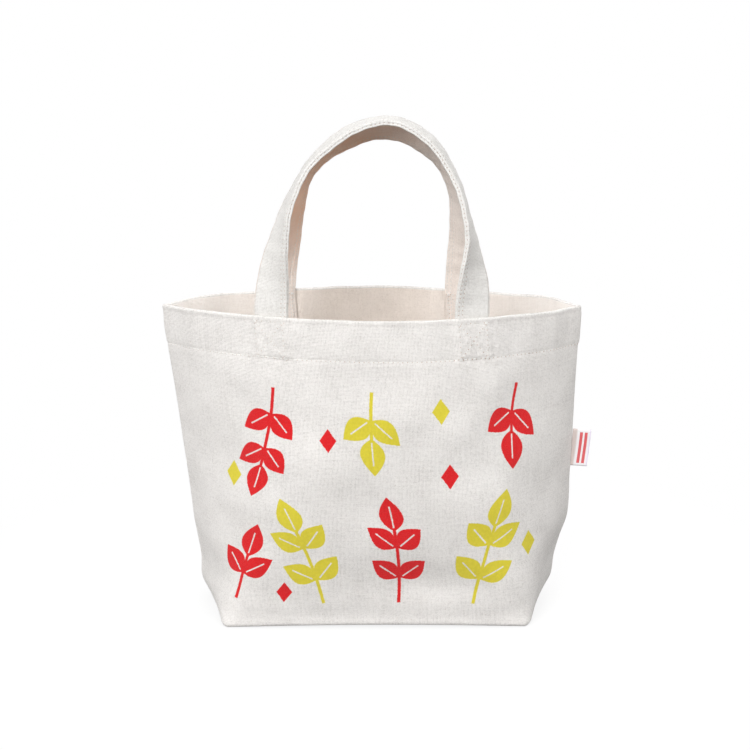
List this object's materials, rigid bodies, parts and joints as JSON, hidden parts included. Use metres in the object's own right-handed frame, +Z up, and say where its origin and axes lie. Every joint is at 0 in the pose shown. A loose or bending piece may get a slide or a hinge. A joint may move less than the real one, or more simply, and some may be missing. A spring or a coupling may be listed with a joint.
{
  "type": "canvas tote bag",
  "caption": "Small open-topped canvas tote bag with a boxed flat base, a deep hem and two sewn strap handles that swing, for carrying lunch or small shopping.",
  "frame": {"origin": "on the underside of the base, at its middle", "axes": "+Z up, +X to the right along the long side of the base as seen from the front, front towards -Y"},
  "size_m": [0.2803, 0.118, 0.3329],
  "materials": {
    "canvas": "plain woven natural white cotton canvas",
    "strap": "folded cotton canvas strap",
    "thread": "matt cotton thread",
    "tape": "matt woven cotton tape",
    "label": "smooth woven satin ribbon"
  },
  "bodies": {
    "bag": {"front_panel": "canvas", "back_panel": "canvas", "front_hem_stitch": "thread", "back_hem_stitch": "thread", "front_left_strap_end": "strap", "front_right_strap_end": "strap", "back_left_strap_end": "strap", "back_right_strap_end": "strap", "front_left_box_stitch": "thread", "front_right_box_stitch": "thread", "back_left_box_stitch": "thread", "back_right_box_stitch": "thread", "right_side_tape": "tape", "left_side_tape": "tape", "right_gusset_tape": "tape", "left_gusset_tape": "tape", "base_seam_tape": "tape"},
    "front_handle": {"front_handle": "strap", "front_handle_edge_stitch": "thread", "front_handle_inner_stitch": "thread"},
    "back_handle": {"back_handle": "strap", "back_handle_edge_stitch": "thread", "back_handle_inner_stitch": "thread"},
    "side_label": {"side_label": "label"}
  },
  "joints": [
    {"name": "front_handle_swing", "type": "hinge", "parent": "bag", "child": "front_handle", "pos_m": [0, -0.045, 0.2098], "axis": [1, 0, 0], "range_deg": [0, 165]},
    {"name": "back_handle_swing", "type": "hinge", "parent": "bag", "child": "back_handle", "pos_m": [0, 0.045, 0.2098], "axis": [-1, 0, 0], "range_deg": [0, 178]},
    {"name": "side_label_bend", "type": "hinge", "parent": "bag", "child": "side_label", "pos_m": [0.12927, 0, 0.095], "axis": [0.0775, 0, 0.997], "range_deg": [-60, 60]}
  ]
}
